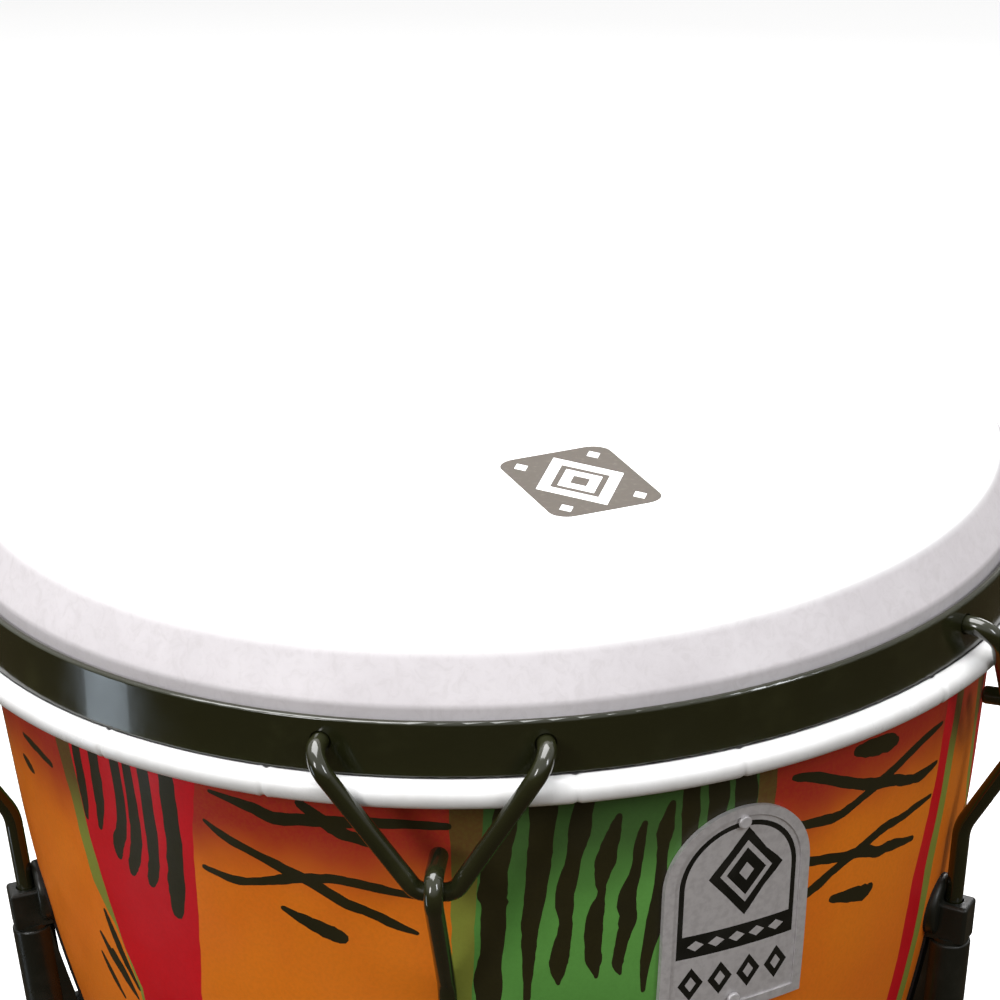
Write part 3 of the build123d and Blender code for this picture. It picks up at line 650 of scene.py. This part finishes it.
def curve_through(points, steps):
    """Smooth curve through points of any length, as a Catmull-Rom spline."""
    made = []
    for index in range(len(points) - 1):
        before = points[max(index - 1, 0)]
        start, end = points[index], points[index + 1]
        after = points[min(index + 2, len(points) - 1)]
        for step in range(steps):
            t = step / steps
            place = []
            for a, b, c, d in zip(before, start, end, after):
                square, cube = 2 * a - 5 * b + 4 * c - d, 3 * b - a - 3 * c + d
                place.append(0.5 * (2 * b + (c - a) * t + square * t * t + cube * t**3))
            made.append(tuple(place))
    made.append(points[-1])
    return made


def stroke_outline(points, turn_shift, depth_shift, seed, fade=1.0):
    """Closed map outline of one brush stroke with uneven edges and rounded ends."""
    moved = [(turn + turn_shift, depth + depth_shift, half * fade) for turn, depth, half in points]
    line = curve_through(moved, 5)
    left, right, caps = [], [], []
    for index, (turn, depth, half) in enumerate(line):
        radius = shell_surface(depth)[0]
        degree = radius * math.radians(1.0)
        half *= min(1.0, radius / FULL_BRUSH_R)
        ahead = line[min(index + 1, len(line) - 1)]
        behind = line[max(index - 1, 0)]
        along = Vector(((ahead[0] - behind[0]) * degree, ahead[1] - behind[1])).normalized()
        side = Vector((-along[1], along[0]))
        for sign, edge in ((1.0, left), (-1.0, right)):
            rough = 1.0 + 0.22 * noise.noise(Vector((index * 0.55, seed * 5.7, sign * 9.0)))
            shift = side * sign * max(half, THIN_BRUSH) * rough
            edge.append((turn + shift[0] / degree, depth + shift[1]))
        if index in (0, len(line) - 1):
            forward = along if index else -along
            cap = []
            for angle in (-40.0, 0.0, 40.0):
                spin = math.radians(angle)
                reach = (forward * math.cos(spin) + side * math.sin(spin)) * max(half, THIN_BRUSH)
                cap.append((turn + reach[0] / degree, depth + reach[1]))
            caps.append(cap)
    return left + caps[1][::-1] + right[::-1] + caps[0]


def all_strokes():
    """Map outlines of every stroke: the top row, and lower rows of the same marks down to the foot."""
    made = []
    seed = 0
    for repeat in range(REPEATS):
        shift = repeat * REPEAT
        groups = [DRIPS, LEFT_TWIGS, GREEN_STRIPES, HATCHING]
        groups.append(RIGHT_TWIGS if repeat < REPEATS - 1 else SIDE_MARKS)
        for strokes in groups:
            for points in strokes:
                seed += 1
                aside = REPEAT_REST if strokes is SIDE_MARKS else 0.0
                weight = 1.0 if strokes is GREEN_STRIPES else BRUSH_WEIGHT
                made.append(stroke_outline(points, shift + aside, 0.0, seed, weight))
    for down, aside in LOWER_ROWS:
        for repeat in range(REPEATS):
            shift = repeat * REPEAT
            for strokes in (LEFT_TWIGS, RIGHT_TWIGS, GREEN_STRIPES, DRIPS):
                for points in strokes:
                    seed += 1
                    if max(point[1] for point in points) + down > MAP_BOTTOM - FOOT_MARGIN:
                        continue
                    if strokes is RIGHT_TWIGS and repeat == REPEATS - 1:
                        continue
                    weight = LOWER_WEIGHT if strokes is GREEN_STRIPES else LOWER_WEIGHT * BRUSH_WEIGHT
                    made.append(stroke_outline(points, shift, down, seed, weight))
    return made


def over_the_seam(outlines):
    """The same outlines, with a second copy a full turn on of each one that comes near the seam."""
    copies = []
    for outline in outlines:
        if min(turn for turn, _ in outline) < SEAM_TURN + SEAM_REACH:
            copies.append([(turn + 360.0, depth) for turn, depth in outline])
    return outlines + copies


def anticlockwise(outline):
    """The same closed outline, turned round if it runs clockwise."""
    area = 0.0
    for (x_a, y_a), (x_b, y_b) in zip(outline, outline[1:] + outline[:1]):
        area += x_a * y_b - x_b * y_a
    return outline if area > 0.0 else outline[::-1]


def triangulate(outlines, loose):
    """Triangles of a flat map that keep every outline's edges, and the outlines that each one lies in."""
    points, faces = [], []
    for outline in outlines:
        faces.append(list(range(len(points), len(points) + len(outline))))
        points += anticlockwise(outline)
    points += loose
    made = delaunay_2d_cdt([Vector(point) for point in points], [], faces, 1, MAP_TOLERANCE)
    return [tuple(point) for point in made[0]], made[2], made[5]


def map_key(turn, depth):
    """Key of a place on the map, the same on both sides of the seam."""
    return round((turn - SEAM_TURN + SEAM_REACH) % 360.0, 2), round(depth, 2)


def map_triangles():
    """Triangles of the printed map, joined at the seam: points of turn and depth, faces and colours."""
    panels = all_panels()
    edges = [edge for _, edge in panels]
    colours = ["bare"] + [colour for colour, _ in panels]
    outlines = [map_outline(edges[0])] + panel_outlines(edges) + over_the_seam(all_strokes())
    loose = []
    for row in between(MAP_TOP, MAP_BOTTOM, ROW_STEP):
        for step in range(TURNS):
            turn = SEAM_TURN + SEAM_REACH + (360.0 - 2 * SEAM_REACH) * step / TURNS
            loose.append((turn * MAP_SCALE, row))
    outlines = [[(turn * MAP_SCALE, depth) for turn, depth in outline] for outline in outlines]
    flat, triangles, inside = triangulate(outlines, loose)
    index_of, kept, same = {}, [], []
    for across, depth in flat:
        turn = across / MAP_SCALE
        key = map_key(turn, depth)
        if key not in index_of:
            index_of[key] = len(kept)
            kept.append((turn, depth))
        same.append(index_of[key])
    faces, labels = [], []
    for triangle, parents in zip(triangles, inside):
        face = [same[index] for index in triangle]
        if 0 not in parents or len(set(face)) < 3:
            continue
        panel = [index for index in parents if 0 < index < len(colours)]
        inked = max(parents) >= len(colours)
        faces.append(face)
        labels.append("ink" if inked and panel else colours[panel[0] if panel else 0])
    return kept, faces, labels


def lip_and_inside():
    """Outline of radius and depth from the print's top, over the lip and down the inside to the foot."""
    gap = FILM + LIP_GAP
    crest = collar_radius(CREST_DEPTH, gap) - CREST_BACK
    made = [(WALL_TOP_R, WALL_TOP_DEPTH), (WALL_TOP_R + 0.8, 18.0)]
    made += [(collar_radius(depth, gap), depth) for depth in (10.0, 7.0, 4.0)]
    made += [(crest + 0.5, CREST_DEPTH + 0.5), (crest, CREST_DEPTH), (crest - 1.5, CREST_DEPTH)]
    made += [(crest - 3.2, 2.4), (crest - 4.1, 6.0), (crest - 1.3, 20.0)]
    for step in range(int((MAP_BOTTOM - MAP_TOP) / ROW_STEP)):
        depth = MAP_TOP + ROW_STEP * step
        radius, slope = shell_surface(depth)
        made.append((radius - INSIDE_WALL * math.cos(slope), depth + INSIDE_WALL * math.sin(slope)))
    radius, slope = shell_surface(MAP_BOTTOM)
    return made + [(radius - INSIDE_WALL, MAP_BOTTOM)]


def printed_shell():
    """Moulded shell and its printed skin, cut along every panel and stroke so that the edges are sharp."""
    kept, faces, labels = map_triangles()
    points, normals = [], []
    for turn, depth in kept:
        point, normal = on_shell(turn, depth)
        points.append(point)
        normals.append(normal)
    names = ["bare", "red", "orange", "green", "olive", "ink"]
    slots = [names.index(label) for label in labels]
    faces = [face[::-1] for face in faces]
    place = {map_key(turn, depth): index for index, (turn, depth) in enumerate(kept)}
    profile = lip_and_inside()
    turns = [SEAM_TURN + 360.0 * step / TURNS for step in range(TURNS)]
    rings = [[place[map_key(turn, MAP_TOP)] for turn in turns]]
    for row, (radius, depth) in enumerate(profile):
        before, after = profile[max(row - 1, 0)], profile[min(row + 1, len(profile) - 1)]
        along = Vector((after[0] - before[0], before[1] - after[1])).normalized()
        ring = []
        for turn in turns:
            angle = math.radians(turn - 90.0)
            ring.append(len(points))
            points.append(Vector((math.cos(angle) * radius, math.sin(angle) * radius, HEIGHT - depth)) * MM)
            normals.append(Vector((along[1] * math.cos(angle), along[1] * math.sin(angle), -along[0])))
        rings.append(ring)
    rings.append([place[map_key(turn, MAP_BOTTOM)] for turn in turns])
    for upper, lower in zip(rings, rings[1:]):
        for step in range(TURNS):
            after = (step + 1) % TURNS
            faces.append([upper[step], upper[after], lower[after], lower[step]])
            slots.append(0)
    looks = [
        plastic_look(),
        print_look("print_red", (0.78, 0.008, 0.018), (0.66, 0.007, 0.015)),
        # third colours: darker tops near the head, partly printed tint and partly painted shade under the
        # hoop and rim
        print_look("print_orange", (0.97, 0.25, 0.015), (0.92, 0.205, 0.014), (0.44, 0.028, 0.018)),
        print_look("print_green", (0.15, 0.42, 0.085), (0.11, 0.33, 0.062), (0.06, 0.14, 0.035)),
        print_look("print_olive", (0.32, 0.38, 0.06), (0.27, 0.28, 0.045), (0.14, 0.07, 0.02)),
        print_look("print_ink", (0.021, 0.019, 0.007), (0.032, 0.027, 0.008)),
    ]
    piece = add_piece("printed_shell", points, faces, "shell_body", looks, slots, normals)
    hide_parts("shell")


# ---------------------------------------------------------------- head
MARK_CENTRE = (31.3, -36.7)
MARK_TILT = math.radians(26.8)
MARK_HALF_WIDTH, MARK_HALF_HEIGHT, MARK_CORNER = 17.5, 24.5, 6.0
BEAD_SEAMS = (
    -58.0, -35.0, -16.5, 13.5, 30.0, 55.0, 78.0, 98.0,
    121.0, 149.0, 176.0, 203.0, 236.0, 262.0, 284.0,
)
SEAM_HALF, SEAM_DIP_HALF = 0.9, 0.45  # degrees either side of a bead seam
SEAM_DIP, SEAM_RIDGE = 0.42, 0.14


def collar_angle():
    """Angle of the collar from vertical, from the playing edge to the knee."""
    return math.atan2(KNEE_R - HEAD_CORNER_R, KNEE_DEPTH)


def skirt_angle():
    """Angle of the skirt below the knee from vertical, tangent to the hoop's core."""
    across, down = HOOP_R - KNEE_R, HOOP_DEPTH - KNEE_DEPTH
    return math.atan2(across, down) - math.asin(CORE_RADIUS / math.hypot(across, down))


def collar_radius(depth, offset):
    """Radius of the collar at a depth, moved towards the shell by offset."""
    return HEAD_CORNER_R + depth * math.tan(collar_angle()) - offset / math.cos(collar_angle())


def rounded_corner(corner_radius, depth, fillet, lean, steps):
    """Points that round the playing edge, from the flat surface to the collar."""
    turn = math.radians(90.0) - lean
    reach = fillet * math.tan(turn / 2)
    centre = (corner_radius - reach, depth + fillet)
    return arc_points(centre, fillet, math.radians(90.0), lean, steps)


def spaced(first, last, steps):
    """Points strictly between two places, evenly spaced."""
    made = []
    for step in range(1, steps):
        share = step / steps
        made.append(tuple(a + (b - a) * share for a, b in zip(first, last)))
    return made


def head_profile():
    """Closed outline of the film: top, collar, wrap round the hoop and back along the inside."""
    lean, skirt = collar_angle(), skirt_angle()
    hoop = (HOOP_R, HOOP_DEPTH)
    start, end = math.radians(180.0) + skirt, math.radians(360.0) + WRAP_END
    outside = rounded_corner(HEAD_CORNER_R, 0.0, HEAD_FILLET, lean, 8)
    collar_end = (HOOP_R + CORE_RADIUS * math.cos(start), HOOP_DEPTH - CORE_RADIUS * math.sin(start))
    bend = (lean - skirt) / 2
    reach = KNEE_FILLET * math.tan(bend)
    knee_centre_r = KNEE_R - reach * math.sin(lean) - KNEE_FILLET * math.cos(lean)
    knee_centre_depth = KNEE_DEPTH - reach * math.cos(lean) + KNEE_FILLET * math.sin(lean)
    knee = arc_points((knee_centre_r, knee_centre_depth), KNEE_FILLET, lean, skirt, 5)
    collar = spaced(outside[-1], knee[0], 6) + knee + spaced(knee[-1], collar_end, 6)
    core = arc_points(hoop, CORE_RADIUS, start, end, 40)
    wrap = arc_points(hoop, CORE_RADIUS + FILM, start, end, 40)
    inner_corner = HEAD_CORNER_R + FILM * math.tan(lean) - FILM / math.cos(lean)
    inside = rounded_corner(inner_corner, FILM, HEAD_FILLET - FILM, lean, 6)
    inside += [(KNEE_R - FILM, KNEE_DEPTH + FILM * math.tan(lean / 2))]
    return outside, collar, core, wrap, inside


def rounded_box(half_wide, half_high, corner):
    """Closed outline of a rounded rectangle about the origin."""
    made = []
    steps = 8
    corners = ((1, 1, 0), (-1, 1, 90), (-1, -1, 180), (1, -1, 270))
    for x_side, y_side, start in corners:
        for step in range(steps + 1):
            angle = math.radians(start + 90.0 * step / steps)
            x = x_side * (half_wide - corner) + corner * math.cos(angle)
            y = y_side * (half_high - corner) + corner * math.sin(angle)
            made.append((x, y))
    return made


def diamond(half_wide, half_high, x=0.0, y=0.0):
    """Closed outline of a diamond."""
    return [(x + half_wide, y), (x, y + half_high), (x - half_wide, y), (x, y - half_high)]


def mark_outlines():
    """Nested outlines of the generic mark: each one swaps ink and bare film inside it."""
    wide, high = MARK_HALF_WIDTH, MARK_HALF_HEIGHT
    made = [
        rounded_box(wide, high, MARK_CORNER),
        diamond(14.0, 20.5),
        diamond(9.6, 14.0),
        diamond(7.2, 10.5),
        diamond(3.2, 4.7),
    ]
    for x_side in (-1, 1):
        for y_side in (-1, 1):
            made.append(diamond(2.2, 3.2, x_side * 11.6, y_side * 17.6))
    return made


def drumhead():
    """Film head with its wrapped bead, small seams along the bead, and a generic printed mark."""
    outside, collar, core, wrap, inside = head_profile()
    start_wrap = len(outside) + len(collar) + len(core)
    outline = outside + collar + core + wrap[::-1] + inside[::-1]
    turns = sorted(set([round(turn, 3) for turn in regular_turns(240)] + seam_turns()))
    rim_radius = outside[0][0]

    def seamed(turn, row, radius, depth):
        distance = math.hypot(radius - HOOP_R, depth - HOOP_DEPTH)
        if distance < CORE_RADIUS + 0.2 or row < start_wrap or distance > CORE_RADIUS + FILM + 0.2:
            return radius, depth
        dent = seam_depth(turn)
        scale = (distance - dent) / distance
        return HOOP_R + (radius - HOOP_R) * scale, HOOP_DEPTH + (depth - HOOP_DEPTH) * scale

    points, faces, slots = [], [], []
    rows = len(outline)
    for turn in turns:
        angle = math.radians(turn - 90.0)
        for row, (radius, depth) in enumerate(outline):
            radius, depth = seamed(turn, row, radius, depth)
            points.append(Vector((math.cos(angle) * radius, math.sin(angle) * radius, HEIGHT - depth)) * MM)
    for column in range(len(turns)):
        after = (column + 1) % len(turns)
        for row in range(rows - 1):
            here, there = column * rows + row, after * rows + row
            faces.append([here, here + 1, there + 1, there])
            slots.append(1 if start_wrap <= row < rows - len(inside) else 0)
    ring = []
    for turn in turns:
        angle = math.radians(turn - 90.0)
        ring.append((rim_radius * math.cos(angle), rim_radius * math.sin(angle)))
    spin = Matrix.Rotation(MARK_TILT, 2)
    marks = []
    for outline_points in mark_outlines():
        marks.append([tuple(spin @ Vector(point) + Vector(MARK_CENTRE)) for point in outline_points])
    flat, triangles, parents = triangulate([ring] + marks, [])
    base = len(points)
    for x, y in flat:
        points.append(Vector((x, y, HEIGHT)) * MM)
    for triangle, inside_of in zip(triangles, parents):
        if inside_of:
            faces.append([base + index for index in triangle])
            slots.append(2 if (len(inside_of) - 1) % 2 else 0)
    under = len(points)
    inner_radius = inside[0][0]
    for turn in turns:
        angle = math.radians(turn - 90.0)
        across, aside = math.cos(angle) * inner_radius, math.sin(angle) * inner_radius
        points.append(Vector((across, aside, HEIGHT - FILM)) * MM)
    faces.append([under + index for index in reversed(range(len(turns)))])
    slots.append(0)
    points, faces, slots = welded(points, faces, slots)
    looks = [film_look(), bead_look(), mark_look()]
    piece = add_piece("film_head", points, faces, "head", looks, slots)
    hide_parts("drumhead")


def seam_turns():
    """Extra turns at the bead's seams, so that each small dent has points of its own."""
    made = []
    for seam in BEAD_SEAMS:
        for step in (-SEAM_HALF, -SEAM_DIP_HALF, -0.2, 0.0, 0.2, SEAM_DIP_HALF, SEAM_HALF):
            made.append(round((seam + step) % 360.0, 3))
    return made


def seam_depth(turn):
    """How far the bead is drawn in at a turn, in millimetres: a dip with a low ridge either side."""
    dent = 0.0
    for seam in BEAD_SEAMS:
        gap = abs((turn - seam + 180.0) % 360.0 - 180.0)
        if gap < SEAM_DIP_HALF:
            dent += SEAM_DIP * (1.0 - gap / SEAM_DIP_HALF)
        elif gap < SEAM_HALF:
            dent -= SEAM_RIDGE * (1.0 - (gap - SEAM_DIP_HALF) / SEAM_DIP_HALF)
    return dent


def welded(points, faces, slots):
    """The same faces with points that share a place joined, and faces that shrink to nothing left out."""
    index_of, kept, same = {}, [], []
    for point in points:
        key = tuple(round(value * 1e6) for value in point)
        if key not in index_of:
            index_of[key] = len(kept)
            kept.append(point)
        same.append(index_of[key])
    new_faces, new_slots = [], []
    for face, slot in zip(faces, slots):
        joined = []
        for index in face:
            if same[index] not in joined:
                joined.append(same[index])
        if len(joined) > 2:
            new_faces.append(joined)
            new_slots.append(slot)
    return kept, new_faces, new_slots


# ---------------------------------------------------------------- badge
def arch(inset, foot):
    """Closed arch-topped outline, inset from the badge's edge and ending at foot below its top."""
    half = BADGE_HALF - inset
    made = []
    for degrees in range(0, 181, 6):
        angle = math.radians(degrees)
        made.append((half * math.cos(angle), BADGE_HALF - half * math.sin(angle)))
    made += [(-half, down) for down in between(BADGE_HALF, foot, 3.0)]
    made += [(across, foot) for across in [-half] + between(-half, half, 3.0) + [half]]
    made += [(half, down) for down in between(foot, BADGE_HALF, 3.0)]
    return made


def badge_outlines():
    """Nested outlines on the badge's face: each one swaps bare metal and enamel inside it."""
    made = [arch(3.2, BADGE_HEIGHT - 3.2), arch(4.7, 46.5), arch(6.3, 39.0)]
    for half_wide, half_high in ((12.0, 14.5), (8.4, 10.2), (6.4, 7.8), (2.4, 3.0)):
        made.append(diamond(half_wide, half_high, 2.0, 21.5))
    made += [diamond(2.6, 1.7, across, 42.7) for across in (-13.0, -6.5, 0.0, 6.5, 13.0)]
    for across in (-13.8, -4.6, 4.6, 13.8):
        made += [diamond(3.9, 5.6, across, 55.6), diamond(1.7, 2.5, across, 55.6)]
    return made


def badge_enamel():
    """Thin sheet on the badge's face, black enamel and bare metal in a generic pattern of diamonds."""
    loose = []
    for across in range(-18, 19, 3):
        for down in range(8, 63, 3):
            if math.hypot(across, min(down - BADGE_HALF, 0.0)) < BADGE_HALF - 4.0:
                loose.append((float(across), float(down)))
    flat, triangles, parents = triangulate(badge_outlines(), loose)
    outer, inner, normals = [], [], []
    for across, down in flat:
        depth = BADGE_TOP_DEPTH + down
        turn = BADGE_TURN + math.degrees(math.asin(across / shell_surface(depth)[0]))
        point, normal = on_shell(turn, depth, ENAMEL_FACE)
        outer.append(point)
        normals.append(normal)
        inner.append(on_shell(turn, depth, ENAMEL_BACK)[0])
    faces, slots = [], []
    for triangle, inside_of in zip(triangles, parents):
        if inside_of:
            faces.append(list(triangle)[::-1])
            slots.append((len(inside_of) - 1) % 2)
    looks = [plate_look("badge_face"), enamel_look()]
    name = "badge_enamel"
    closed_sheet(name, outer, inner, faces, "shell_body", looks, slots, normals)


# ---------------------------------------------------------------- carried-over nodes
def dress_nodes():
    """Materials of the frame's own nodes."""
    paint = black_paint_look()
    casting = casting_look()
    foot = rubber_look("foot_rubber", (0.018, 0.018, 0.018))
    gasket = rubber_look("gasket_rubber", (0.014, 0.014, 0.014))
    zinc = steel_look("zinc_plate", (0.62, 0.63, 0.66), (1.0, 1.0, 12.0))
    plate = plate_look("badge_plate")
    hoop = steel_look("hoop_steel", (0.5, 0.5, 0.52), (1.0, 1.0, 8.0))
    by_name = {
        "rim": paint,
        "v_hook": paint,
        "tension_rod": paint,
        "tension_nut": paint,
        "nut_washer": zinc,
        "lug_screw_washers": zinc,
        "lug_screws": zinc,
        "lug_gasket": gasket,
        "lug": casting,
        "foot_ring": foot,
        "badge": plate,
        "badge_rivets": plate,
        "flesh_hoop": hoop,
    }
    for name, node in nodes.items():
        kind = name.rstrip("_12345")
        if kind in by_name:
            node.data.materials.clear()
            node.data.materials.append(by_name[kind])


add_camera()
add_studio()
dress_nodes()
printed_shell()
drumhead()
badge_enamel()
